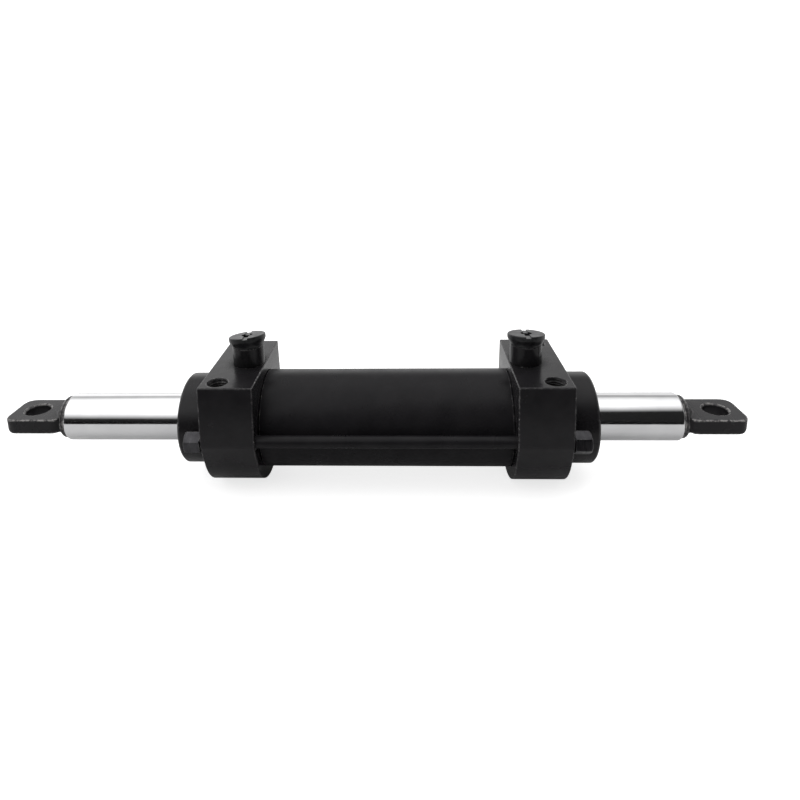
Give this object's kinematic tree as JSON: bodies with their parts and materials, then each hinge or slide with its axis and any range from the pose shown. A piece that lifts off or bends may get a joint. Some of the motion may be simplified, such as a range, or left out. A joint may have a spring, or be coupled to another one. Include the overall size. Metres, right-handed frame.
{
  "type": "double rod hydraulic steering cylinder",
  "caption": "Double-acting hydraulic cylinder with a through rod, flat rod eyes, tie-rod heads with flat mounting faces, and plugged ports on top.",
  "frame": {"origin": "midway between the two heads, in the plane of their flat mounting faces, on the line over the rod axis", "axes": "+X along the rod towards the right-hand head, +Z out of the mounting faces on the port side, +Y to the back"},
  "size_m": [0.634, 0.1131, 0.1294],
  "materials": {
    "black_paint": "black semi-gloss enamel over cast iron and steel",
    "hard_chrome": "ground and polished hard chrome plate",
    "machined_steel": "turned steel",
    "dark_fastener_steel": "oiled dark steel",
    "black_rubber": "smooth nitrile rubber",
    "blue_urethane": "moulded polyurethane",
    "bronze_filled_ptfe": "turned bronze-filled PTFE",
    "black_plastic": "moulded polyethylene, satin"
  },
  "bodies": {
    "housing": {"barrel_tube": "black_paint", "front_tie_rod": "black_paint", "back_tie_rod": "black_paint", "left_head": "black_paint", "left_gland": "black_paint", "left_rod_guide_ring": "bronze_filled_ptfe", "left_rod_seal": "blue_urethane", "left_rod_wiper": "black_rubber", "left_gland_oring": "black_rubber", "left_barrel_oring": "black_rubber", "left_front_nut": "dark_fastener_steel", "left_back_nut": "dark_fastener_steel", "right_head": "black_paint", "right_gland": "black_paint", "right_rod_guide_ring": "bronze_filled_ptfe", "right_rod_seal": "blue_urethane", "right_rod_wiper": "black_rubber", "right_gland_oring": "black_rubber", "right_barrel_oring": "black_rubber", "right_front_nut": "dark_fastener_steel", "right_back_nut": "dark_fastener_steel"},
    "piston_rings": {"piston_seal": "bronze_filled_ptfe", "left_piston_wear_ring": "bronze_filled_ptfe", "right_piston_wear_ring": "bronze_filled_ptfe"},
    "through_rod": {"piston_rod": "hard_chrome", "piston": "machined_steel", "piston_static_oring": "black_rubber", "left_piston_circlip": "dark_fastener_steel", "right_piston_circlip": "dark_fastener_steel", "left_rod_eye": "black_paint", "right_rod_eye": "black_paint"},
    "left_plug": {"left_port_plug": "black_plastic"},
    "right_plug": {"right_port_plug": "black_plastic"}
  },
  "joints": [
    {"name": "rod_stroke", "type": "slide", "parent": "housing", "child": "piston_rings", "axis": [1, 0, 0], "range_m": [-0.0687, 0.1013]},
    {"name": "rod_turn", "type": "hinge", "parent": "piston_rings", "child": "through_rod", "pos_m": [0, 0, -0.051], "axis": [1, 0, 0], "continuous": true},
    {"name": "left_plug_pull", "type": "slide", "parent": "housing", "child": "left_plug", "axis": [-0.0998, 0.1388, 0.9853], "range_m": [0, 0.03]},
    {"name": "right_plug_pull", "type": "slide", "parent": "housing", "child": "right_plug", "axis": [0.01, 0.1395, 0.9902], "range_m": [0, 0.03]}
  ]
}
